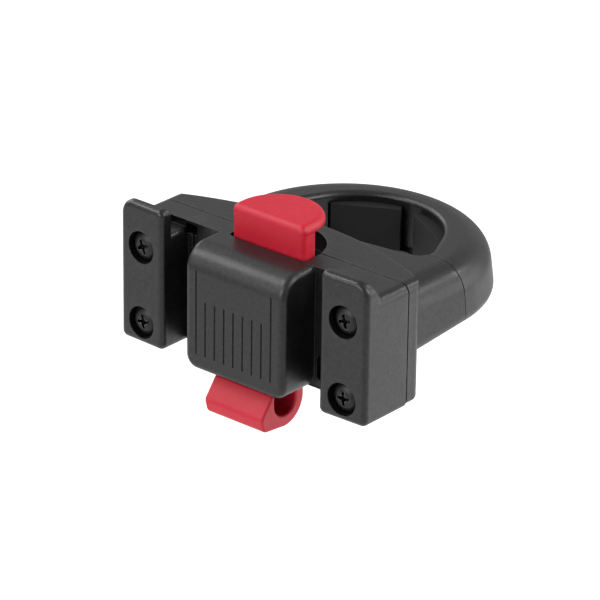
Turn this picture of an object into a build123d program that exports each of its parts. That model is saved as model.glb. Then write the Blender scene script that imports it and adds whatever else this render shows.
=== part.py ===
"""Quick-release bag mount for an upright bicycle tube.

A bag hangs on the two raised lips of the front housing and snaps onto the red hook below it.
Pressing the red button lowers the hook. A two-piece clamp with rubber pads grips the tube.

Millimetres. X is to the right, Y points from the bag towards the tube and Z is up.
Everything is laid out from the rails: Y = 0 at their inner front edges and Z = 0 at the wall between them.
The finished pieces are then shifted so that the origin lies on the tube's axis, half way up the pads.
"""
from build123d import *
from math import cos, radians, sin, sqrt, tan
import os

# Rails and lips
overall_width = 100.0
rail_height = 47.0
rail_drop = 0.5
rail_gap = 63.6
rail_corner_radius = 2.2
rail_inner_radius = 2.1
lip_thickness = 4.0
lip_top_thickness = 3.0
lip_base_depth = 6.9
lip_toe = 2.0
lip_corner_radius = 5.0
lip_edge_radius = 1.9

# Housing and shell
body_height = 40.7
seam_depth = 20.6
back_wall_depth = 12.0
top_side_radius = 3.2
shell_side_depth = 5.2
shell_bow_depth = 17.0
shell_lift = 0.3
shell_edge_radius = 3.0
shell_bottom_radius = 1.8
shell_top_radius = 0.7
seam_groove_width = 0.4
seam_groove_depth = 1.0

# Seats for the bag's hooks behind the lips
seat_drop = 2.4
seat_width = 9.0
seat_hollow_radius = 2.5
seat_round_radius = 2.0

# Centre block and its grooves
block_width = 40.4
block_proud = 2.7
block_top_radius = 8.0
block_edge_radius = 2.2
block_bottom = -0.4
block_corner_radius = 4.5
groove_pitch = 3.8
groove_width = 0.7
groove_depth = 0.35
groove_bottom = 5.1
groove_top_short = 23.9
groove_top_long = 33.8
short_groove_count = 7

# Windows and rib in the channels' back wall
upper_window_width = 4.8
upper_window_height = 3.2
lower_window_width = 6.0
lower_window_height = 8.0
lower_window_bottom = 3.2
window_roof = 1.0
window_depth = 5.0
window_radius = 1.2
window_edge_gap = 1.0
rib_width = 1.0
rib_height = 1.0

# Release slider: button, shank and hook
clearance = 0.3
press_travel = 7.0
button_radius = 14.7
button_centre_depth = 17.6
button_top = 51.5
button_thickness = 3.5
button_edge_radius = 2.2
button_rim_radius = 0.9
shank_half_width = 14.5
shank_front = 12.8
shank_thickness = 6.7
shank_corner_radius = 1.8
stem_thickness = 3.8
stem_inset = 0.6
ear_overhang = 3.2
ear_height = 8.0
guide_rib_width = 2.0
guide_rib_offset = 9.0
hook_half_width = 11.9
hook_bore_radius = 4.95
hook_bore_height = -6.3
hook_peak_height = -1.0
hook_tip_depth = -2.7
hook_tip_height = -9.3
hook_nose_depth = -1.4
hook_nose_height = -14.0
hook_edge_radius = 2.2
hook_peak_radius = 0.8
hook_end_radius = 0.8

# Slider's cavity and the button's well
well_radius = 15.3
well_end_gap = 1.0
well_depth = 6.2
cavity_floor = 4.0
cavity_roof = 34.4

# Return spring in the shank's window
spring_wire = 0.8
spring_diameter = 5.0
spring_turns = 6.0
spring_wire_sides = 10
spring_seat_height = 12.0
spring_seat_thickness = 2.2
spring_window_width = 7.2
spring_window_top = 29.0
spring_window_bottom = 9.0

# Rail screws
screw_spread = 82.0
screw_heights = (6.8, 32.5)
screw_turns = {(-1, 0): 8.0, (-1, 1): 26.0, (1, 0): 4.0, (1, 1): 14.0}
screw_shaft_diameter = 5.0
screw_head_diameter = 10.0
screw_head_height = 3.2
screw_head_recess = 0.9
counterbore_diameter = 10.8
screw_end_depth = 26.5
recess_span = 4.8
recess_width = 1.15
recess_core = 2.1
recess_depth = 1.9
screw_rim_share = 0.45
screw_dome_share = 0.92
screw_dome_reach = 0.68
screw_end_gap = 0.5
thread_fit = 0.03

# Tube clamp
tube_diameter = 31.8
clamp_half_width = 46.6
clamp_draft = 7.0
clamp_top = 33.9
clamp_seam_depth = 53.6
clamp_gap = 0.3
clamp_bottom = 14.9
clamp_bottom_slope = 4.2
clamp_top_radius = 9.8
clamp_bottom_radius = 3.0
clamp_round_offset = -2.0
mouth_rim_share = 0.5
mouth_radius = 27.2
mouth_centre_offset = 2.7
mouth_flare = 25.0
mouth_corner_radius = 5.0
front_wall_setback = 5.7
front_wall_angle = 7.2

# Rubber pads
pad_angle = 29.5
pad_face_distance = 22.85
pad_offset = 1.5
pad_length = 22.9
pad_top = 30.6
pad_bottom = 16.3
pad_sink = 1.2
pad_ledge = 2.0
pad_end_gap = 0.8
front_pad_width = 40.0

# Clamp bolts, washers and nuts
bolt_spread = 77.0
bolt_height = 22.0
bolt_diameter = 5.0
bolt_head_diameter = 8.5
bolt_head_height = 5.0
bolt_key_across = 4.0
bolt_key_depth = 2.6
bolt_head_recess = 1.0
washer_diameter = 10.0
washer_thickness = 1.0
nut_across = 8.0
nut_thickness = 4.0
nut_offset = 5.4
bolt_overrun = 2.5

# Overlap of cuts and joins, and the window for picking edges by position
overlap = 1.0
pick = 0.01

# Worked-out values
rail_inner = rail_gap / 2
rail_outer = overall_width / 2
rail_width = rail_outer - rail_inner
toe_offset = rail_width * tan(radians(lip_toe))
block_half = block_width / 2
shank_back = shank_front + shank_thickness
stem_front = shank_front + stem_inset
stem_back = stem_front + stem_thickness
hook_bore_depth = stem_front - hook_bore_radius
hook_outer_radius = hook_bore_radius + stem_thickness
spring_depth = (shank_front + shank_back) / 2
tube_radius = tube_diameter / 2
mouth_centre_depth = clamp_seam_depth + mouth_centre_offset
clamp_round_depth = clamp_seam_depth + clamp_round_offset
front_wall_depth = clamp_seam_depth - front_wall_setback
mouth_chord = mouth_radius * cos(radians(mouth_flare))
mouth_arc_depth = mouth_centre_depth + mouth_radius * sin(radians(mouth_flare))
mouth_seam_half = mouth_chord + (mouth_arc_depth - clamp_seam_depth) * tan(radians(mouth_flare))
corner_depth = front_wall_depth + mouth_seam_half * tan(radians(front_wall_angle))
corner_half = mouth_chord + (mouth_arc_depth - corner_depth) * tan(radians(mouth_flare))
clamp_lean = (clamp_top - clamp_bottom) * tan(radians(clamp_draft))
flat_half = clamp_half_width - clamp_lean - clamp_top_radius * tan(radians(45 - clamp_draft / 2))
mouth_rim_radius = (flat_half - corner_half) * mouth_rim_share
nut_depth = clamp_seam_depth + nut_offset
bolt_end_depth = nut_depth + nut_thickness + bolt_overrun
rear_line = mouth_centre_depth + pad_face_distance / cos(radians(pad_angle))
tube_depth = rear_line - tube_radius / cos(radians(pad_angle))
front_line = tube_depth - tube_radius / cos(radians(front_wall_angle))
front_pad_proud = (front_line - front_wall_depth) * cos(radians(front_wall_angle))
pad_middle = (pad_top + pad_bottom) / 2


def box_between(low, high):
    """A box from its lowest to its highest corner."""
    size = [top - bottom for bottom, top in zip(low, high)]
    middle = [(top + bottom) / 2 for bottom, top in zip(low, high)]
    return Pos(*middle) * Box(*size)


def prism_along_x(outline, start, end):
    """Extrude an outline drawn in (Y, Z) from one X to another."""
    return Pos(start, 0, 0) * extrude(Plane.YZ * outline, end - start)


def prism_along_y(outline, start, end):
    """Extrude an outline drawn in (X, Z) from one Y to another."""
    return Pos(0, end, 0) * extrude(Plane.XZ * outline, end - start)


def prism_along_z(outline, start, end):
    """Extrude an outline drawn in (X, Y) from one Z to another."""
    return Pos(0, 0, start) * extrude(outline, end - start)


def rod_along_y(radius, start, end, x, z):
    """A round rod parallel to Y."""
    return Pos(x, (start + end) / 2, z) * Rot(90, 0, 0) * Cylinder(radius, end - start)


def both_sides(piece):
    """A piece on the right together with its mirror image on the left."""
    return piece + mirror(piece, about=Plane.YZ)


def edges_near(solid, axis, position, along):
    """Edges of a solid that run along one axis and lie at a position on another."""
    return solid.edges().filter_by(along).filter_by_position(axis, position - pick, position + pick)


def body_section():
    """End view of the housing's rear wall, with its four corners rounded."""
    outline = Pos(0, body_height / 2) * Rectangle(overall_width, body_height)
    outline = fillet(outline.vertices().group_by(Axis.Y)[-1], top_side_radius)
    return fillet(outline.vertices().group_by(Axis.Y)[0], rail_corner_radius)


def rail_front(height, outer_top_radius):
    """Front view of the right rail, rounded at its outer top corner and its two lower corners."""
    middle = Pos((rail_inner + rail_outer) / 2, (height - rail_drop) / 2)
    front = middle * Rectangle(rail_width, height + rail_drop)
    corners = ((-1, -1, outer_top_radius), (0, -1, rail_corner_radius), (0, 0, rail_inner_radius))
    for end, side, radius in corners:
        front = fillet(front.vertices().group_by(Axis.Y)[end].sort_by(Axis.X)[side], radius)
    return front


def rail_lip():
    """Right lip, full height, with a toed front face, a sloping back and a soft edge all round its front."""
    front = rail_front(rail_height, lip_corner_radius)
    front = fillet(front.vertices().group_by(Axis.Y)[-1].sort_by(Axis.X)[0], rail_inner_radius)
    side_view = make_face(Polyline(
        (0, -rail_drop), (lip_base_depth, -rail_drop), (lip_base_depth, body_height),
        (lip_top_thickness, rail_height), (0, rail_height), close=True))
    plan = make_face(Polyline(
        (rail_inner, 0), (rail_outer, toe_offset), (rail_outer, lip_base_depth), (rail_inner, lip_base_depth),
        close=True))
    lip = prism_along_y(front, 0, lip_base_depth) & prism_along_z(plan, -rail_drop, rail_height)
    lip = lip & prism_along_x(side_view, rail_inner, rail_outer)
    return fillet(lip.faces().sort_by(Axis.Y)[0].edges(), lip_edge_radius)


def rail_body():
    """Right rail behind its lip."""
    return prism_along_y(rail_front(body_height, top_side_radius), lip_thickness, seam_depth)


def seam_groove():
    """Narrow groove round the sides and top, where the housing meets the shell."""
    inner_half = rail_outer - seam_groove_depth
    inner_top = body_height - seam_groove_depth
    inner = Rectangle(2 * inner_half, 2 * inner_top)
    inner = fillet(inner.vertices().group_by(Axis.Y)[-1], top_side_radius)
    outer = Rectangle(2 * (rail_outer + overlap), 2 * (body_height + overlap))
    return prism_along_y(outer - inner, seam_depth - seam_groove_width, seam_depth + overlap)


def hook_seat():
    """Shallow seat behind the right lip, hollow in front and rounded where it opens to the channel."""
    floor = body_height - seat_drop
    low = (rail_inner - overlap, lip_thickness, floor)
    high = (rail_inner + seat_width, back_wall_depth + stem_inset, rail_height)
    seat = box_between(low, high)
    seat = fillet(edges_near(seat, Axis.Y, lip_thickness, Axis.X).sort_by(Axis.Z)[0], seat_hollow_radius)
    radius = seat_round_radius
    corner = Pos(rail_inner, floor) * Rectangle(2 * radius, 2 * radius)
    corner = corner - Pos(rail_inner + radius, floor - radius) * Circle(radius)
    return seat + prism_along_y(corner, lip_thickness, back_wall_depth)


def centre_block():
    """Block between the channels, with a large round over its top front edge."""
    front = Pos(0, (block_bottom + body_height) / 2) * Rectangle(block_width, body_height - block_bottom)
    front = fillet(front.vertices().group_by(Axis.Y)[0], block_corner_radius)
    block = prism_along_y(front, -block_proud, seam_depth)
    block = fillet(edges_near(block, Axis.Y, -block_proud, Axis.X).sort_by(Axis.Z)[-1], block_top_radius)
    front_edges = block.faces().sort_by(Axis.Y)[0].edges().sort_by(Axis.Z)[:-1]
    top_edges = block.edges().filter_by(GeomType.CIRCLE).sort_by(Axis.Z)[-2:]
    side_edges = edges_near(block, Axis.Z, body_height, Axis.Y)
    return fillet(front_edges + top_edges + side_edges, block_edge_radius)


def groove(offset, top):
    """One upright groove in the block's front."""
    slot = SlotOverall(top - groove_bottom, groove_width, rotation=90)
    outline = Pos(offset, (groove_bottom + top) / 2) * slot
    return prism_along_y(outline, -block_proud - overlap, -block_proud + groove_depth)


def grooves():
    """Row of short grooves between two long ones."""
    reach = (short_groove_count + 1) / 2 * groove_pitch
    cuts = [groove(-reach, groove_top_long), groove(reach, groove_top_long)]
    for index in range(short_groove_count):
        cuts.append(groove((index + 1) * groove_pitch - reach, groove_top_short))
    return cuts


def channel_windows():
    """Openings in the right channel's back wall, one under the top and one near the bottom."""
    window_top = body_height - window_roof
    upper = Pos(rail_inner - upper_window_width / 2 + overlap, window_top - upper_window_height / 2)
    upper = upper * Rectangle(upper_window_width, upper_window_height)
    lower_middle = block_half + window_edge_gap + lower_window_width / 2
    lower = Pos(lower_middle, lower_window_bottom + lower_window_height / 2)
    lower = lower * RectangleRounded(lower_window_width, lower_window_height, window_radius)
    start = back_wall_depth - overlap
    end = back_wall_depth + window_depth
    return prism_along_y(upper, start, end) + prism_along_y(lower, start, end)


def channel_rib():
    """Upright rib on the right channel's back wall, below its upper window."""
    middle = rail_inner - upper_window_width / 2 + overlap - rib_width
    low = (middle - rib_width / 2, back_wall_depth - rib_height, 0)
    top = body_height - window_roof - upper_window_height
    high = (middle + rib_width / 2, back_wall_depth + overlap, top)
    return box_between(low, high)


def well_outline(radius):
    """D outline with a flat front and a round back, for the button and its well."""
    gap = radius - button_radius
    front = shank_front - gap
    straight = button_centre_depth - front
    flat = Pos(0, front + straight / 2) * Rectangle(2 * radius, straight)
    behind_front = Pos(0, front + 2 * radius) * Rectangle(4 * radius, 4 * radius)
    return (flat + Pos(0, button_centre_depth) * Circle(radius)) & behind_front


def slider_cavity():
    """Space for the slider: well above, guide way in the middle, slot below."""
    gap = well_radius - button_radius
    front = shank_front - clearance
    ear_half = shank_half_width + ear_overhang + clearance
    back = seam_depth + overlap
    guide = box_between((-ear_half, front, cavity_floor), (ear_half, back, cavity_roof))
    top_half = shank_half_width + well_end_gap
    mouth_length = back - shank_front + gap
    mouth_plan = Pos(0, back - mouth_length / 2) * Rectangle(2 * top_half, mouth_length)
    mouth_plan = fillet(mouth_plan.vertices().group_by(Axis.Y)[0], shank_corner_radius)
    mouth = prism_along_z(mouth_plan, cavity_roof - overlap, body_height + overlap)
    slot_half = hook_half_width + clearance
    slot_low = (-slot_half, stem_front - clearance, -overlap)
    slot_high = (slot_half, stem_back + clearance, cavity_floor + overlap)
    slot = box_between(slot_low, slot_high)
    return guide + mouth + slot


def screw_places():
    """Side, row, X and Z of every rail screw."""
    for side in (-1, 1):
        for row, height in enumerate(screw_heights):
            yield side, row, side * screw_spread / 2, height


def screw_seat_depth(x):
    """Y of the surface under a rail screw's head."""
    face = (abs(x) - rail_inner) * tan(radians(lip_toe))
    return face + screw_head_recess + screw_head_height


def front_housing():
    """Moulding that the bag meets: block, rails, lips and the slider's way."""
    core = prism_along_y(body_section(), back_wall_depth, seam_depth)
    rail = rail_body() + rail_lip() - hook_seat() + channel_rib()
    housing = core + centre_block() + both_sides(rail)
    housing = housing - seam_groove() - both_sides(channel_windows()) - slider_cavity()
    for cut in grooves():
        housing = housing - cut
    for side, row, x, height in screw_places():
        seat = screw_seat_depth(x)
        housing = housing - rod_along_y(counterbore_diameter / 2, -overlap, seat, x, height)
        shaft_radius = screw_shaft_diameter / 2 + clearance
        housing = housing - rod_along_y(shaft_radius, -overlap, seam_depth + overlap, x, height)
    return housing


def clamp_section(bottom):
    """Cross-section of the clamp's right half: drafted side, large upper round, small lower one."""
    lean = (clamp_top - bottom) * tan(radians(clamp_draft))
    outline = make_face(Polyline(
        (0, bottom), (clamp_half_width, bottom), (clamp_half_width - lean, clamp_top), (0, clamp_top),
        close=True))
    outline = fillet(outline.vertices().group_by(Axis.Y)[-1].sort_by(Axis.X)[-1], clamp_top_radius)
    return fillet(outline.vertices().group_by(Axis.Y)[0].sort_by(Axis.X)[-1], clamp_bottom_radius)


def clamp_arms():
    """Front half of the clamp before its opening is cut, with an underside that rises to the seam."""
    start = seam_depth + shell_side_depth / 2
    drop = (clamp_seam_depth - start) * tan(radians(clamp_bottom_slope))
    sections = [
        Plane.XZ.offset(-start) * clamp_section(clamp_bottom - drop),
        Plane.XZ.offset(-clamp_seam_depth) * clamp_section(clamp_bottom),
    ]
    return both_sides(loft(sections))


def clamp_round():
    """Rear half of the clamp before its opening is cut."""
    half = revolve(Plane.XZ * clamp_section(clamp_bottom), Axis.Z, revolution_arc=90)
    return Pos(0, clamp_round_depth, 0) * both_sides(half)


def clamp_mouth():
    """Tube opening: shallow V in front, flared walls, round back."""
    back = (0, mouth_centre_depth + mouth_radius)
    outline = make_face([
        Line((0, front_wall_depth), (corner_half, corner_depth)),
        Line((corner_half, corner_depth), (mouth_chord, mouth_arc_depth)),
        ThreePointArc((mouth_chord, mouth_arc_depth), back, (-mouth_chord, mouth_arc_depth)),
        Line((-mouth_chord, mouth_arc_depth), (-corner_half, corner_depth)),
        Line((-corner_half, corner_depth), (0, front_wall_depth)),
    ])
    corners = outline.vertices().filter_by_position(Axis.Y, corner_depth - pick, corner_depth + pick)
    return fillet(corners, mouth_corner_radius)


def open_mouth(half, bottom):
    """Cut the tube opening out of one clamp half, down to a given height, and round its upper rim."""
    half = half - prism_along_z(clamp_mouth(), bottom, clamp_top + overlap)
    opening = Pos(0, 0, clamp_top) * clamp_mouth()
    top = half.faces().filter_by(Axis.Z).sort_by(Axis.Z)[-1]
    rim = [edge for edge in top.edges() if opening.distance_to(edge.center()) < pick]
    return fillet(rim, mouth_rim_radius)


def pad_block(face_distance, back_radius, length, bottom, top):
    """Block between a flat face and a round back, centred on the mouth and facing its middle."""
    back = Circle(back_radius)
    strip = Pos(pad_offset, face_distance + back_radius / 2) * Rectangle(length, back_radius)
    return prism_along_z(back & strip, bottom, top)


def rear_pad():
    """Flat-faced rubber pad on the right of the hoop's round wall."""
    pad = pad_block(pad_face_distance, mouth_radius + pad_sink, pad_length, pad_bottom, pad_top)
    return Pos(0, mouth_centre_depth, 0) * Rot(0, 0, -pad_angle) * pad


def rear_pad_pocket():
    """Pocket in the hoop's wall for the right pad, a little longer than the pad."""
    length = pad_length + 2 * pad_end_gap
    pocket = pad_block(pad_face_distance - overlap, mouth_radius + pad_sink, length, pad_bottom, pad_top)
    return Pos(0, mouth_centre_depth, 0) * Rot(0, 0, -pad_angle) * pocket


def front_strip(width, sink, proud, bottom, top):
    """Strip that follows the front wall's V, sunk by one measure and proud by another."""
    half = width / 2
    rise = half * tan(radians(front_wall_angle))
    stretch = 1 / cos(radians(front_wall_angle))
    near = front_wall_depth - sink * stretch
    far = front_wall_depth + proud * stretch
    outline = make_face(Polyline(
        (0, near), (half, near + rise), (half, far + rise),
        (0, far), (-half, far + rise), (-half, near + rise),
        close=True))
    return prism_along_z(outline, bottom, top)


def front_pad():
    """Rubber strip on the front wall."""
    return front_strip(front_pad_width, pad_sink, front_pad_proud, pad_bottom, pad_top)


def front_pad_pocket():
    """Pocket for the front strip."""
    return front_strip(front_pad_width, pad_sink, pad_sink, pad_bottom, pad_top)


def bolt_places():
    """X of the clamp bolts."""
    return (-bolt_spread / 2, bolt_spread / 2)


def bolt_head_seat():
    """Y of the washer's front under a clamp bolt's head."""
    return seam_depth + bolt_head_recess + bolt_head_height


def shell_plan():
    """Plan of the shell behind the seam, bowed at the back."""
    end_depth = seam_depth + shell_side_depth
    return make_face([
        Line((-rail_outer, seam_depth), (rail_outer, seam_depth)),
        Line((rail_outer, seam_depth), (rail_outer, end_depth)),
        ThreePointArc((rail_outer, end_depth), (0, seam_depth + shell_bow_depth), (-rail_outer, end_depth)),
        Line((-rail_outer, end_depth), (-rail_outer, seam_depth)),
    ])


def shell_corner():
    """Waste outside the shell's rounded upper right corner."""
    radius = top_side_radius
    side = radius + overlap
    corner = Pos(rail_outer - radius + side / 2, body_height - radius + side / 2) * Rectangle(side, side)
    corner = corner - Pos(rail_outer - radius, body_height - radius) * Circle(radius)
    return prism_along_y(corner, seam_depth - overlap, seam_depth + shell_bow_depth)


def spring_seat():
    """Tongue on the shell that reaches into the shank's window and carries the spring."""
    half = spring_window_width / 2 - clearance
    low = (-half, shank_front + clearance, spring_seat_height - spring_seat_thickness)
    high = (half, seam_depth + overlap, spring_seat_height)
    return box_between(low, high)


def rear_shell():
    """Moulding behind the seam with the front half of the tube clamp."""
    plan = shell_plan()
    plan = fillet(plan.vertices().group_by(Axis.Y)[1], shell_edge_radius)
    shell = prism_along_z(plan, shell_lift, body_height)
    for end, radius in ((0, shell_bottom_radius), (-1, shell_top_radius)):
        face = shell.faces().sort_by(Axis.Z)[end]
        shell = fillet([edge for edge in face.edges() if edge.center().Y > seam_depth + pick], radius)
    shell = shell - both_sides(shell_corner())
    shell = shell + open_mouth(clamp_arms(), 0) + spring_seat()
    well = prism_along_z(well_outline(well_radius), body_height - well_depth, body_height + overlap)
    shell = shell - well - front_pad_pocket()
    pilot_radius = screw_shaft_diameter / 2 + thread_fit
    for side, row, x, height in screw_places():
        shell = shell - rod_along_y(pilot_radius, seam_depth - overlap, screw_end_depth, x, height)
    seat = bolt_head_seat() + washer_thickness
    washer_room = washer_diameter / 2 + clearance
    bolt_room = bolt_diameter / 2 + clearance
    for x in bolt_places():
        shell = shell - rod_along_y(washer_room, seam_depth - overlap, seat, x, bolt_height)
        shell = shell - rod_along_y(bolt_room, seat - overlap, clamp_seam_depth + overlap, x, bolt_height)
    return shell


def clamp_hoop():
    """Rear half of the tube clamp with a ledge under its pads, pad pockets and nut slots."""
    low = (-rail_outer, clamp_round_depth - overlap, 0)
    high = (rail_outer, clamp_seam_depth + clamp_gap, rail_height)
    hoop = open_mouth(clamp_round() - box_between(low, high), pad_bottom)
    ledge_opening = offset(clamp_mouth(), -pad_ledge)
    hoop = hoop - prism_along_z(ledge_opening, 0, pad_bottom + overlap) - both_sides(rear_pad_pocket())
    bolt_room = bolt_diameter / 2 + clearance
    for x in bolt_places():
        hole_end = bolt_end_depth + overlap
        hoop = hoop - rod_along_y(bolt_room, clamp_seam_depth - overlap, hole_end, x, bolt_height)
        hoop = hoop - nut_slot(x)
    return hoop


def nut_slot(x):
    """Slot from the hoop's underside that holds one nut from turning."""
    half = nut_across / 2
    corner = nut_across / sqrt(3)
    low = (x - half, nut_depth, 0)
    high = (x + half, nut_depth + nut_thickness, bolt_height)
    roof = Pos(x, nut_depth + nut_thickness, bolt_height) * Rot(90, 0, 0) * hex_prism(corner, nut_thickness)
    return box_between(low, high) + roof


def hex_prism(corner_radius, height):
    """Hexagonal prism along Z with two corners on the Y axis."""
    return extrude(RegularPolygon(corner_radius, 6, rotation=30), height)


def clamp_nuts():
    """Hexagon nuts in the hoop's slots."""
    nuts = []
    for x in bolt_places():
        nut = Pos(x, nut_depth + nut_thickness, bolt_height) * Rot(90, 0, 0)
        nut = nut * hex_prism(nut_across / sqrt(3), nut_thickness)
        thread_radius = bolt_diameter / 2 + thread_fit
        nuts.append(nut - rod_along_y(thread_radius, nut_depth - overlap, bolt_end_depth, x, bolt_height))
    return Compound(children=nuts)


def clamp_washers():
    """Flat washers under the clamp bolts' heads."""
    washers = []
    seat = bolt_head_seat()
    for x in bolt_places():
        back = seat + washer_thickness
        washer = rod_along_y(washer_diameter / 2, seat, back, x, bolt_height)
        hole = rod_along_y(bolt_diameter / 2 + clearance, seat - overlap, back + overlap, x, bolt_height)
        washers.append(washer - hole)
    return Compound(children=washers)


def clamp_bolts():
    """Socket-head bolts that pull the hoop towards the shell."""
    bolts = []
    top = seam_depth + bolt_head_recess
    seat = bolt_head_seat()
    for x in bolt_places():
        head = rod_along_y(bolt_head_diameter / 2, top, seat, x, bolt_height)
        key = Pos(x, top + bolt_key_depth, bolt_height) * Rot(90, 0, 0)
        key = key * hex_prism(bolt_key_across / sqrt(3), bolt_key_depth + overlap)
        bolts.append(head - key + rod_along_y(bolt_diameter / 2, seat, bolt_end_depth, x, bolt_height))
    return Compound(children=bolts)


def screw_head():
    """Pan head with a cross recess, its seat at Z = 0 and its top up."""
    radius = screw_head_diameter / 2
    rim = screw_head_height * screw_rim_share
    shoulder = (radius * screw_dome_reach, screw_head_height * screw_dome_share)
    profile = make_face([
        Line((0, 0), (radius, 0)),
        Line((radius, 0), (radius, rim)),
        ThreePointArc((radius, rim), shoulder, (0, screw_head_height)),
        Line((0, screw_head_height), (0, 0)),
    ])
    head = revolve(Plane.XZ * profile, Axis.Z)
    top = Pos(0, 0, screw_head_height)
    slot = top * Box(recess_span, recess_width, 2 * recess_depth)
    core = top * Rot(0, 0, 45) * Box(recess_core, recess_core, 2 * recess_depth)
    return head - slot - Rot(0, 0, 90) * slot - core


def rail_screws():
    """The screws that hold the housing to the shell."""
    screws = []
    for side, row, x, height in screw_places():
        seat = screw_seat_depth(x)
        head = Pos(x, seat, height) * Rot(90, 0, 0) * Rot(0, 0, screw_turns[side, row]) * screw_head()
        end = screw_end_depth - screw_end_gap
        screws.append(head + rod_along_y(screw_shaft_diameter / 2, seat, end, x, height))
    return Compound(children=screws)


def hook_outline():
    """J-shaped side view of the hook with its ramp, up to the shank."""
    centre = (hook_bore_depth, hook_bore_height)
    inner_front = hook_bore_depth - hook_bore_radius
    floor = hook_bore_height - hook_outer_radius
    top = cavity_floor + press_travel + 2 * overlap
    diagonal = sin(radians(45))
    outline = make_face([
        Line((stem_front, top), (stem_front, hook_bore_height)),
        ThreePointArc(
            (stem_front, hook_bore_height), (centre[0], hook_bore_height - hook_bore_radius),
            (inner_front, hook_bore_height)),
        Line((inner_front, hook_bore_height), (inner_front, hook_peak_height)),
        Line((inner_front, hook_peak_height), (hook_tip_depth, hook_tip_height)),
        Line((hook_tip_depth, hook_tip_height), (hook_nose_depth, hook_nose_height)),
        Line((hook_nose_depth, hook_nose_height), (centre[0], floor)),
        ThreePointArc(
            (centre[0], floor),
            (centre[0] + hook_outer_radius * diagonal, hook_bore_height - hook_outer_radius * diagonal),
            (stem_back, hook_bore_height)),
        Line((stem_back, hook_bore_height), (stem_back, top)),
        Line((stem_back, top), (stem_front, top)),
    ])
    outline = fillet(outline.vertices().sort_by(Axis.X)[0:2], hook_edge_radius)
    inner = outline.vertices().filter_by_position(Axis.X, inner_front - pick, inner_front + pick)
    return fillet(inner.sort_by(Axis.Y)[-1], hook_peak_radius)


def release_slider():
    """Red moulding: button, shank with stop ears and guide ribs, and the hook."""
    hook = prism_along_x(hook_outline(), -hook_half_width, hook_half_width)
    hook_ends = [edge for face in hook.faces().filter_by(Axis.X) for edge in face.edges()]
    hook = fillet([edge for edge in hook_ends if edge.center().Z < 0], hook_end_radius)
    shank_bottom = cavity_floor + press_travel + clearance
    shank_plan = Pos(0, (shank_front + shank_back) / 2) * RectangleRounded(
        2 * shank_half_width, shank_thickness, shank_corner_radius)
    head_bottom = button_top - button_thickness
    shank = prism_along_z(shank_plan, shank_bottom, head_bottom + overlap)
    ear_half = shank_half_width + ear_overhang
    ear_top = cavity_roof - clearance
    ears = box_between((-ear_half, stem_front, ear_top - ear_height), (ear_half, stem_back, ear_top))
    head_plan = well_outline(button_radius)
    front_corners = head_plan.vertices().group_by(Axis.Y)[0]
    head_plan = fillet(front_corners, shank_corner_radius)
    head = prism_along_z(head_plan, head_bottom, button_top)
    head = fillet(head.faces().sort_by(Axis.Z)[-1].edges(), button_edge_radius)
    rim = [edge for edge in head.faces().sort_by(Axis.Z)[0].edges() if edge.center().Y > shank_back]
    head = fillet(rim, button_rim_radius)
    slider = hook + shank + ears + head
    rib_low = (guide_rib_offset, stem_back, shank_bottom)
    rib_high = (guide_rib_offset + guide_rib_width, seam_depth - clearance, ear_top)
    slider = slider + both_sides(box_between(rib_low, rib_high))
    half = spring_window_width / 2
    low = (-half, shank_front - overlap, spring_window_bottom)
    high = (half, shank_back + overlap, spring_window_top)
    return slider - box_between(low, high)


def return_spring():
    """Coil spring between the shell's tongue and the top of the shank's window."""
    radius = (spring_diameter - spring_wire) / 2
    low = spring_seat_height + spring_wire / 2
    height = spring_window_top - spring_wire / 2 - low
    path = Helix(pitch=height / spring_turns, height=height, radius=radius)
    section = Plane(origin=path @ 0, z_dir=path % 0) * RegularPolygon(spring_wire / 2, spring_wire_sides)
    coil = sweep(section, path, is_frenet=True)
    return Pos(0, spring_depth, low) * coil


def build():
    """All pieces by node name, in the rails' frame."""
    return {
        "front_housing": front_housing(),
        "rear_shell": rear_shell(),
        "clamp_hoop": clamp_hoop(),
        "rear_pad_left": mirror(rear_pad(), about=Plane.YZ),
        "rear_pad_right": rear_pad(),
        "front_pad": front_pad(),
        "release_slider": release_slider(),
        "return_spring": return_spring(),
        "rail_screws": rail_screws(),
        "clamp_bolts": clamp_bolts(),
        "clamp_washers": clamp_washers(),
        "clamp_nuts": clamp_nuts(),
    }


os.makedirs("parts", exist_ok=True)
to_tube_axis = Pos(0, -tube_depth, -pad_middle)
for node, piece in build().items():
    export_step(to_tube_axis * piece, f"parts/{node}.step")
print("tube axis behind the rails' front edge:", round(tube_depth, 3))
print("pads' middle above the wall's bottom:", round(pad_middle, 3))
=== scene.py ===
import math

import bpy
from mathutils import Matrix, Vector


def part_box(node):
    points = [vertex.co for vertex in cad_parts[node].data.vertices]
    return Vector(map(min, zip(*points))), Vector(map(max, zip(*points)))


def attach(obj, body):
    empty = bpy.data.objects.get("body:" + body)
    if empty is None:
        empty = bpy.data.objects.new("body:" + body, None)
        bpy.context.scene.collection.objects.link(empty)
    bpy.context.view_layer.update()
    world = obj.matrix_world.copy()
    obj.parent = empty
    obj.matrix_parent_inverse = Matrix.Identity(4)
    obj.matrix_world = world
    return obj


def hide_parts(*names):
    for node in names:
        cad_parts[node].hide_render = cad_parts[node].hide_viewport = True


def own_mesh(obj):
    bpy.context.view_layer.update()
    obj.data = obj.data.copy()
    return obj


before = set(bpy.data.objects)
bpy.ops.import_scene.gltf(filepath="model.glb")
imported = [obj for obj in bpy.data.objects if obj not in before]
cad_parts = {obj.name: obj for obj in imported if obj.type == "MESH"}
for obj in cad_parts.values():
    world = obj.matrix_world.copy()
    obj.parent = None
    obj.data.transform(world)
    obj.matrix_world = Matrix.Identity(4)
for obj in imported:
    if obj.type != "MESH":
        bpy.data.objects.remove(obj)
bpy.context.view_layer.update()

# Camera: place, direction and field of view
CAMERA_PLACE = Vector((0.73459, -0.903215, 0.51690))
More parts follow.
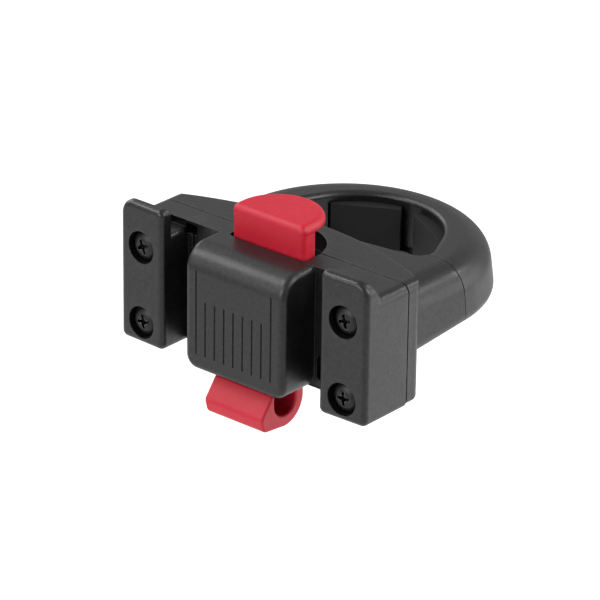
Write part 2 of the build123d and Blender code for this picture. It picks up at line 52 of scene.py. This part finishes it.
CAMERA_AZIMUTH = math.radians(40.243)
CAMERA_ELEVATION = math.radians(24.704)
CAMERA_ROLL = math.radians(0.795)
CAMERA_LENS = 240.93
CAMERA_SENSOR = 36.0
CAMERA_SHIFT = (-0.00083, 0.00083)

# Floor: height, half width, paint, and its lift for the camera by distance and for mirrored views
FLOOR_HEIGHT = -0.25
FLOOR_HALF = 6.0
FLOOR_WHITE = 0.86
FLOOR_LIFT_DISTANCE = (0.3, 1.5)
FLOOR_LIFT = (0.4, 0.9)
FLOOR_GLOSS = 0.16

# World: strength where it is seen, where it is mirrored and where it lights
WORLD_SEEN = 1.0
WORLD_GLOSS = 0.58
WORLD_LIGHT = 0.18

# Softboxes: name, place, point they face, width, height and power
PART_MIDDLE = (0.0, -0.03, 0.0)
FLOOR_PATCH = (0.42, 0.42, FLOOR_HEIGHT)
SOFTBOXES = (
    ("left_box", (-0.70, -0.53, 0.83), PART_MIDDLE, 0.45, 0.45, 4.2),
    ("side_box", (-0.95, 0.05, 0.50), PART_MIDDLE, 0.7, 0.6, 3.5),
    ("top_box", (0.50, 0.19, 0.95), PART_MIDDLE, 0.3, 0.3, 0.5),
    ("low_box", (0.80, 0.90, 0.16), PART_MIDDLE, 1.1, 0.7, 5.0),
    ("back_box", (0.48, 0.85, 0.68), PART_MIDDLE, 0.18, 0.18, 1.6),
    ("floor_box", (0.42, 0.42, -0.08), FLOOR_PATCH, 0.5, 0.5, 1.1),
    ("right_box", (0.85, 0.10, 0.52), PART_MIDDLE, 0.5, 0.5, 4.8),
    ("front_box", (-0.25, -1.2, 0.45), PART_MIDDLE, 0.9, 0.7, 7.2),
)

# Return spring: wire thickness, turns, how much closer the end turns lie, and steps of the mesh
SPRING_WIRE = 0.0008
SPRING_TURNS = 6
SPRING_END_CLOSING = 0.6
SPRING_STEPS = 40
SPRING_SIDES = 12

# All materials: ranges that masks and noises cover, rays per mask, and the plastics' refraction
RISING = (0.0, 1.0)
FALLING = (1.0, 0.0)
NOISE_MIDDLE = (0.3, 0.7)
SHARP_EDGE_TURN = (0.80, 0.99)
ROUND_EDGE_COVER = (0.62, 0.95)
MASK_SAMPLES = 8
PLASTIC_IOR = 1.5

# In the materials below, a noise is scale, detail and roughness, a share is what a pattern adds to
# the mottle, a tint is places and colours along the mottle, and a bump is depth and strength

# Black plastic
BLACK_FLOW = (42.0, 4.0, 0.6)
BLACK_GRAIN = (850.0, 5.0, 0.65)
BLACK_PITS = 1900.0
BLACK_RUB_HIGHLIGHT_REACH = 0.003
BLACK_RUB_HIGHLIGHT_GRAIN = (0.35, 0.65)
BLACK_RUB_HIGHLIGHT_PATCHES = (0.4, 1.0)
BLACK_FLOW_SHARE = (0.0, 0.35)
BLACK_GRAIN_SHARE = (0.0, 0.35)
# Painted highlight: the rounded edges are painted paler, standing in for edge highlights
BLACK_EDGE_HIGHLIGHT_SHARE = (0.0, 0.3)
# Tint above 0.7 is reached only where the painted edge highlight adds to the mottle
BLACK_TINT = ((0.0, (0.004, 0.004, 0.0042)), (0.7, (0.008, 0.008, 0.0083)), (1.0, (0.02, 0.02, 0.02)))
BLACK_ROUGHNESS = (0.34, 0.40)
BLACK_RUB_POLISH = (0.0, 0.10)
BLACK_SPECULAR = (0.43, 0.57)
BLACK_EDGE_RADIUS = 0.0003
BLACK_PIT_HEIGHT = (0.0, 0.3)
BLACK_BUMP = (0.00009, 0.6)

# Red plastic
RED_FLOW = (55.0, 3.0, 0.55)
RED_GRAIN = (900.0, 4.0, 0.6)
RED_SCUFFS = (330.0, 5.0, 0.7)
RED_SCUFF_PEAKS = (0.54, 0.72)
RED_FLOW_SHARE = (0.05, 0.4)
RED_GRAIN_SHARE = (0.0, 0.25)
# Painted highlight: the sharp edges are painted paler, standing in for edge highlights
RED_EDGE_HIGHLIGHT_SHARE = (0.0, 0.2)
RED_SCUFF_SHARE = (0.0, 0.35)
RED_TINT = ((0.0, (0.55, 0.003, 0.020)), (0.5, (0.63, 0.005, 0.027)), (1.0, (0.70, 0.04, 0.06)))
RED_ROUGHNESS = (0.42, 0.54)
RED_EDGE_RADIUS = 0.0005
RED_BUMP = (0.00006, 0.5)

# Rubber
RUBBER_STIPPLE = (1500.0, 4.0, 0.65)
RUBBER_DUST = (70.0, 4.0, 0.6)
RUBBER_TINT = ((0.3, (0.006, 0.006, 0.006)), (0.75, (0.010, 0.010, 0.010)))
RUBBER_SPECULAR = 0.3
RUBBER_ROUGHNESS = (0.66, 0.8)
RUBBER_EDGE_RADIUS = 0.0005
RUBBER_BUMP = (0.00004, 0.4)

# Black screws
SCREW_PLATING = (900.0, 4.0, 0.6)
# Painted glints: bright spots on the sharp edges where the plating noise peaks
SCREW_GLINT_PEAKS = (0.42, 0.55)
SCREW_PLATING_SHARE = (0.0, 0.3)
# The bright top stop is the colour of the painted glints
SCREW_TINT = ((0.0, (0.008, 0.008, 0.008)), (0.4, (0.014, 0.014, 0.014)), (1.0, (0.4, 0.4, 0.4)))
SCREW_METALLIC = 0.35
SCREW_ROUGHNESS = (0.32, 0.46)
SCREW_EDGE_RADIUS = 0.0002
SCREW_BUMP = (0.000008, 0.3)

# Bright steel, as spring wire and as plated bolts
STEEL_MARKS = (900.0, 3.0, 0.5)
STEEL_CLOUD = (160.0, 4.0, 0.6)
STEEL_EDGE_RADIUS = 0.0002
STEEL_BUMP = (0.000006, 0.3)
WIRE_TINT = ((0.3, (0.42, 0.42, 0.43)), (0.7, (0.58, 0.58, 0.58)))
WIRE_STRETCH = (1.0, 1.0, 4.0)
WIRE_ROUGHNESS = (0.22, 0.34)
PLATED_TINT = ((0.3, (0.52, 0.53, 0.55)), (0.7, (0.64, 0.64, 0.63)))
PLATED_STRETCH = (4.0, 0.6, 4.0)
PLATED_ROUGHNESS = (0.26, 0.4)


class Shader:
    """A material's node tree with short ways to add and join nodes."""

    def __init__(self, name):
        self.material = bpy.data.materials.new(name)
        self.material.use_nodes = True
        self.tree = self.material.node_tree
        self.tree.nodes.clear()
        self.output = self.tree.nodes.new("ShaderNodeOutputMaterial")
        self.place = self.tree.nodes.new("ShaderNodeTexCoord").outputs["Object"]

    def join(self, start, end):
        """Link an output to an input."""
        self.tree.links.new(start, end)

    def principled(self, **values):
        """Main surface with uniform values on its own sockets."""
        node = self.tree.nodes.new("ShaderNodeBsdfPrincipled")
        for label, value in values.items():
            node.inputs[label.replace("_", " ")].default_value = value
        self.join(node.outputs["BSDF"], self.output.inputs["Surface"])
        return node

    def feed(self, node, **sources):
        """Link patterns to a node's sockets."""
        for label, source in sources.items():
            self.join(source, node.inputs[label.replace("_", " ")])

    def stretched(self, scale):
        """Object coordinates stretched along the axes."""
        node = self.tree.nodes.new("ShaderNodeMapping")
        node.inputs["Scale"].default_value = scale
        self.join(self.place, node.inputs["Vector"])
        return node.outputs["Vector"]

    def reach(self):
        """Distance from the object's origin."""
        node = self.tree.nodes.new("ShaderNodeVectorMath")
        node.operation = "LENGTH"
        self.join(self.place, node.inputs[0])
        return node.outputs["Value"]

    def noise(self, scale, detail, roughness, vector=None):
        """Cloudy pattern."""
        node = self.tree.nodes.new("ShaderNodeTexNoise")
        node.inputs["Scale"].default_value = scale
        node.inputs["Detail"].default_value = detail
        node.inputs["Roughness"].default_value = roughness
        self.join(vector or self.place, node.inputs["Vector"])
        return node.outputs["Fac"]

    def cells(self, scale):
        """Pattern of small round pits."""
        node = self.tree.nodes.new("ShaderNodeTexVoronoi")
        node.feature = "SMOOTH_F1"
        node.inputs["Scale"].default_value = scale
        self.join(self.place, node.inputs["Vector"])
        return node.outputs["Distance"]

    def spread(self, value, old_range, new_range):
        """Map one range of a value to another and clamp it there."""
        node = self.tree.nodes.new("ShaderNodeMapRange")
        labels = ("From Min", "From Max", "To Min", "To Max")
        for label, limit in zip(labels, (*old_range, *new_range)):
            node.inputs[label].default_value = limit
        self.join(value, node.inputs["Value"])
        return node.outputs["Result"]

    def combine(self, operation, first, *others):
        """Fold values into one with a math operation."""
        result = first
        for other in others:
            node = self.tree.nodes.new("ShaderNodeMath")
            node.operation = operation
            self.join(result, node.inputs[0])
            self.join(other, node.inputs[1])
            result = node.outputs["Value"]
        return result

    def tint(self, value, stops):
        """Colour ramp from places and colours."""
        node = self.tree.nodes.new("ShaderNodeValToRGB")
        elements = node.color_ramp.elements
        for index, (position, colour) in enumerate(stops):
            stop = elements[index] if index < len(elements) else elements.new(position)
            stop.position = position
            stop.color = (*colour, 1.0)
        self.join(value, node.inputs["Fac"])
        return node.outputs["Color"]

    def soft_edge(self, radius):
        """Normal that rounds sharp edges by a small radius."""
        node = self.tree.nodes.new("ShaderNodeBevel")
        node.samples = MASK_SAMPLES
        node.inputs["Radius"].default_value = radius
        return node.outputs["Normal"]

    def round_edge_mask(self, reach):
        """One along rounded and sharp outer edges, zero on open faces."""
        node = self.tree.nodes.new("ShaderNodeAmbientOcclusion")
        node.inside = True
        node.only_local = True
        node.samples = MASK_SAMPLES
        node.inputs["Distance"].default_value = reach
        return self.spread(node.outputs["AO"], ROUND_EDGE_COVER, FALLING)

    def sharp_edge_mask(self, soft_normal):
        """One along sharp edges, zero on open faces."""
        geometry = self.tree.nodes.new("ShaderNodeNewGeometry")
        dot = self.tree.nodes.new("ShaderNodeVectorMath")
        dot.operation = "DOT_PRODUCT"
        self.join(soft_normal, dot.inputs[0])
        self.join(geometry.outputs["Normal"], dot.inputs[1])
        return self.spread(dot.outputs["Value"], SHARP_EDGE_TURN, FALLING)

    def bump(self, height, normal, depth, strength):
        """Normal with a pattern's relief."""
        node = self.tree.nodes.new("ShaderNodeBump")
        node.inputs["Distance"].default_value = depth
        node.inputs["Strength"].default_value = strength
        self.feed(node, Height=height, Normal=normal)
        return node.outputs["Normal"]


def moulded_black():
    """Black moulded plastic with an eroded grain, faint flow marks and edges worn glossier; the edges
    are also painted paler as a painted highlight.
    """
    shader = Shader("moulded_black")
    flow = shader.noise(*BLACK_FLOW)
    grain = shader.noise(*BLACK_GRAIN)
    pits = shader.cells(BLACK_PITS)
    soft = shader.soft_edge(BLACK_EDGE_RADIUS)
    patches = shader.spread(grain, BLACK_RUB_HIGHLIGHT_GRAIN, BLACK_RUB_HIGHLIGHT_PATCHES)
    # Edge mask: makes the edges glossier (rubbing) and paints them paler (painted highlight)
    rubbed_and_highlit = shader.combine("MULTIPLY", shader.round_edge_mask(BLACK_RUB_HIGHLIGHT_REACH), patches)
    mottle = shader.combine(
        "ADD",
        shader.spread(flow, NOISE_MIDDLE, BLACK_FLOW_SHARE),
        shader.spread(grain, NOISE_MIDDLE, BLACK_GRAIN_SHARE),
        shader.spread(rubbed_and_highlit, RISING, BLACK_EDGE_HIGHLIGHT_SHARE))
    matt = shader.spread(flow, NOISE_MIDDLE, BLACK_ROUGHNESS)
    polish = shader.spread(rubbed_and_highlit, RISING, BLACK_RUB_POLISH)
    height = shader.combine("ADD", grain, shader.spread(pits, RISING, BLACK_PIT_HEIGHT))
    shader.feed(
        shader.principled(IOR=PLASTIC_IOR),
        Base_Color=shader.tint(mottle, BLACK_TINT),
        Roughness=shader.combine("SUBTRACT", matt, polish),
        Specular_IOR_Level=shader.spread(grain, NOISE_MIDDLE, BLACK_SPECULAR),
        Normal=shader.bump(height, soft, *BLACK_BUMP))
    return shader.material


def moulded_red():
    """Red moulded plastic with a fine grain, a painted highlight along its sharp edges and small pale
    scuffs.
    """
    shader = Shader("moulded_red")
    flow = shader.noise(*RED_FLOW)
    grain = shader.noise(*RED_GRAIN)
    scuffs = shader.noise(*RED_SCUFFS)
    soft = shader.soft_edge(RED_EDGE_RADIUS)
    # The sharp-edge share below is a painted highlight along the edges
    mottle = shader.combine(
        "ADD",
        shader.spread(flow, NOISE_MIDDLE, RED_FLOW_SHARE),
        shader.spread(grain, NOISE_MIDDLE, RED_GRAIN_SHARE),
        shader.spread(shader.sharp_edge_mask(soft), RISING, RED_EDGE_HIGHLIGHT_SHARE),
        shader.spread(scuffs, RED_SCUFF_PEAKS, RED_SCUFF_SHARE))
    shader.feed(
        shader.principled(IOR=PLASTIC_IOR),
        Base_Color=shader.tint(mottle, RED_TINT),
        Roughness=shader.spread(scuffs, NOISE_MIDDLE, RED_ROUGHNESS),
        Normal=shader.bump(grain, soft, *RED_BUMP))
    return shader.material


def pad_rubber():
    """Dull black rubber with a stippled skin and a little dust."""
    shader = Shader("pad_rubber")
    stipple = shader.noise(*RUBBER_STIPPLE)
    dust = shader.noise(*RUBBER_DUST)
    soft = shader.soft_edge(RUBBER_EDGE_RADIUS)
    shader.feed(
        shader.principled(IOR=PLASTIC_IOR, Specular_IOR_Level=RUBBER_SPECULAR),
        Base_Color=shader.tint(dust, RUBBER_TINT),
        Roughness=shader.spread(dust, NOISE_MIDDLE, RUBBER_ROUGHNESS),
        Normal=shader.bump(stipple, soft, *RUBBER_BUMP))
    return shader.material


def black_screw():
    """Black plated steel with a random plating tone and painted glints as bright spots on its sharp
    edges.
    """
    shader = Shader("black_screw")
    plating = shader.noise(*SCREW_PLATING)
    soft = shader.soft_edge(SCREW_EDGE_RADIUS)
    # Painted glints: bright spots on the sharp edges, added to the random plating tone
    glint_spots = shader.spread(plating, SCREW_GLINT_PEAKS, RISING)
    edge_glints = shader.combine("MULTIPLY", shader.sharp_edge_mask(soft), glint_spots)
    plating_and_glints = shader.combine("ADD", shader.spread(plating, NOISE_MIDDLE, SCREW_PLATING_SHARE), edge_glints)
    shader.feed(
        shader.principled(IOR=PLASTIC_IOR, Metallic=SCREW_METALLIC),
        Base_Color=shader.tint(plating_and_glints, SCREW_TINT),
        Roughness=shader.spread(plating, NOISE_MIDDLE, SCREW_ROUGHNESS),
        Normal=shader.bump(plating, soft, *SCREW_BUMP))
    return shader.material


def bright_steel(name, tint, stretch, roughness):
    """Bare or plated steel with drawn marks along one axis."""
    shader = Shader(name)
    marks = shader.noise(*STEEL_MARKS, vector=shader.stretched(stretch))
    cloud = shader.noise(*STEEL_CLOUD)
    soft = shader.soft_edge(STEEL_EDGE_RADIUS)
    shader.feed(
        shader.principled(Metallic=1.0),
        Base_Color=shader.tint(cloud, tint),
        Roughness=shader.spread(marks, NOISE_MIDDLE, roughness),
        Normal=shader.bump(marks, soft, *STEEL_BUMP))
    return shader.material


def spring_steel():
    """Drawn spring wire."""
    return bright_steel("spring_steel", WIRE_TINT, WIRE_STRETCH, WIRE_ROUGHNESS)


def plated_steel():
    """Zinc-plated bolts, washers and nuts."""
    return bright_steel("plated_steel", PLATED_TINT, PLATED_STRETCH, PLATED_ROUGHNESS)


def ring_points(centre, outward, across):
    """Points round the wire at one place along the coil."""
    angles = [2 * math.pi * side / SPRING_SIDES for side in range(SPRING_SIDES)]
    spokes = [outward * math.cos(angle) + across * math.sin(angle) for angle in angles]
    return [centre + spoke * SPRING_WIRE / 2 for spoke in spokes]


def coil_rings(low, high):
    """Rings of points along a coil that fills a box, with closer turns at both ends."""
    middle = (low + high) / 2
    radius = (high.x - low.x - SPRING_WIRE) / 2
    rise = high.z - low.z - SPRING_WIRE
    steps = SPRING_TURNS * SPRING_STEPS
    rings = []
    for step in range(steps + 1):
        share = step / steps
        turn = 2 * math.pi * SPRING_TURNS * share
        outward = Vector((math.cos(turn), math.sin(turn), 0.0))
        climb = share - SPRING_END_CLOSING * math.sin(2 * math.pi * share) / (2 * math.pi)
        pitch = rise * (1 - SPRING_END_CLOSING * math.cos(2 * math.pi * share)) / SPRING_TURNS
        along = Vector((-outward.y, outward.x, pitch / (2 * math.pi * radius)))
        across = outward.cross(along).normalized()
        axis_point = Vector((middle.x, middle.y, low.z + SPRING_WIRE / 2 + rise * climb))
        rings.append(ring_points(axis_point + outward * radius, outward, across))
    return rings


def coil_mesh(rings):
    """Closed tube over rings of points."""
    sides = SPRING_SIDES
    faces = []
    for ring in range(len(rings) - 1):
        for side in range(sides):
            here = ring * sides + side
            beside = ring * sides + (side + 1) % sides
            faces.append((here, here + sides, beside + sides, beside))
    last = (len(rings) - 1) * sides
    faces.append(tuple(range(sides)))
    faces.append(tuple(last + side for side in reversed(range(sides))))
    mesh = bpy.data.meshes.new("return_coil")
    mesh.from_pydata([point for ring in rings for point in ring], [], faces)
    mesh.shade_smooth()
    return mesh


def return_coil(material):
    """Round-wire return spring built in the box of the spring's node, held on the mount."""
    low, high = (Vector(corner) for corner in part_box("return_spring"))
    mesh = coil_mesh(coil_rings(low, high))
    mesh.materials.append(material)
    coil = bpy.data.objects.new("return_coil", mesh)
    bpy.context.scene.collection.objects.link(coil)
    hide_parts("return_spring")
    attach(coil, "mount")
    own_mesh(coil)


def dress(material, *nodes):
    """Give CAD nodes a material."""
    for node in nodes:
        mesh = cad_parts[node].data
        mesh.materials.clear()
        mesh.materials.append(material)


def dress_nodes():
    """One material for every node, and the coil for the spring's node."""
    dress(moulded_black(), "front_housing", "rear_shell", "clamp_hoop")
    dress(moulded_red(), "release_slider")
    dress(pad_rubber(), "rear_pad_left", "rear_pad_right", "front_pad")
    dress(black_screw(), "rail_screws")
    wire = spring_steel()
    dress(wire, "return_spring")
    return_coil(wire)
    dress(plated_steel(), "clamp_bolts", "clamp_washers", "clamp_nuts")


def ray_factor(tree, kind):
    """One for rays of a kind, zero for the others."""
    return tree.nodes.new("ShaderNodeLightPath").outputs[f"Is {kind} Ray"]


def white_background(tree, strength):
    """Plain white background of one strength."""
    node = tree.nodes.new("ShaderNodeBackground")
    node.inputs["Color"].default_value = (1.0, 1.0, 1.0, 1.0)
    node.inputs["Strength"].default_value = strength
    return node.outputs["Background"]


def white_world():
    """White where it is seen, pale where it is mirrored and a soft grey where it lights."""
    world = bpy.data.worlds.new("studio")
    bpy.context.scene.world = world
    world.use_nodes = True
    tree = world.node_tree
    tree.nodes.clear()
    surface = white_background(tree, WORLD_LIGHT)
    for kind, strength in (("Glossy", WORLD_GLOSS), ("Camera", WORLD_SEEN)):
        mix = tree.nodes.new("ShaderNodeMixShader")
        tree.links.new(ray_factor(tree, kind), mix.inputs["Fac"])
        tree.links.new(surface, mix.inputs[1])
        tree.links.new(white_background(tree, strength), mix.inputs[2])
        surface = mix.outputs["Shader"]
    output = tree.nodes.new("ShaderNodeOutputWorld")
    tree.links.new(surface, output.inputs["Surface"])


def floor_material():
    """Pale matt floor that is lifted to white where the camera sees it, so that only shadows show."""
    shader = Shader("pale_floor")
    tree = shader.tree
    paint = tree.nodes.new("ShaderNodeBsdfDiffuse")
    paint.inputs["Color"].default_value = (FLOOR_WHITE, FLOOR_WHITE, FLOOR_WHITE, 1.0)
    lift = shader.spread(shader.reach(), FLOOR_LIFT_DISTANCE, FLOOR_LIFT)
    seen = shader.combine("MULTIPLY", lift, ray_factor(tree, "Camera"))
    mirrored = shader.spread(ray_factor(tree, "Glossy"), RISING, (0.0, FLOOR_GLOSS))
    glow = tree.nodes.new("ShaderNodeEmission")
    shader.feed(glow, Strength=shader.combine("ADD", seen, mirrored))
    both = tree.nodes.new("ShaderNodeAddShader")
    shader.join(paint.outputs["BSDF"], both.inputs[0])
    shader.join(glow.outputs["Emission"], both.inputs[1])
    shader.join(both.outputs["Shader"], shader.output.inputs["Surface"])
    return shader.material


def pale_floor():
    """Large level floor under the part."""
    mesh = bpy.data.meshes.new("floor")
    half = FLOOR_HALF
    corners = [(-half, -half), (half, -half), (half, half), (-half, half)]
    mesh.from_pydata([(x, y, FLOOR_HEIGHT) for x, y in corners], [], [(0, 1, 2, 3)])
    mesh.materials.append(floor_material())
    floor = bpy.data.objects.new("floor", mesh)
    bpy.context.scene.collection.objects.link(floor)


def softbox(name, place, target, width, height, power):
    """Large soft lamp that the camera doesn't see."""
    lamp = bpy.data.lights.new(name, "AREA")
    lamp.shape = "RECTANGLE"
    lamp.size = width
    lamp.size_y = height
    lamp.energy = power
    box = bpy.data.objects.new(name, lamp)
    box.location = place
    box.rotation_euler = (Vector(target) - Vector(place)).to_track_quat("-Z", "Y").to_euler()
    box.visible_camera = False
    bpy.context.scene.collection.objects.link(box)


def photo_camera():
    """Camera at the photograph's place and angle."""
    back = Vector((
        math.sin(CAMERA_AZIMUTH) * math.cos(CAMERA_ELEVATION),
        -math.cos(CAMERA_AZIMUTH) * math.cos(CAMERA_ELEVATION),
        math.sin(CAMERA_ELEVATION)))
    level_right = Vector((math.cos(CAMERA_AZIMUTH), math.sin(CAMERA_AZIMUTH), 0.0))
    level_up = back.cross(level_right)
    right = level_right * math.cos(CAMERA_ROLL) + level_up * math.sin(CAMERA_ROLL)
    up = level_up * math.cos(CAMERA_ROLL) - level_right * math.sin(CAMERA_ROLL)
    turn = Matrix((right, up, back)).transposed().to_4x4()
    data = bpy.data.cameras.new("camera")
    data.sensor_width = CAMERA_SENSOR
    data.lens = CAMERA_LENS
    data.shift_x, data.shift_y = CAMERA_SHIFT
    camera = bpy.data.objects.new("camera", data)
    camera.matrix_world = Matrix.Translation(CAMERA_PLACE) @ turn
    bpy.context.scene.collection.objects.link(camera)
    bpy.context.scene.camera = camera


dress_nodes()
white_world()
pale_floor()
for box in SOFTBOXES:
    softbox(*box)
photo_camera()
bpy.context.scene.view_settings.view_transform = "Standard"
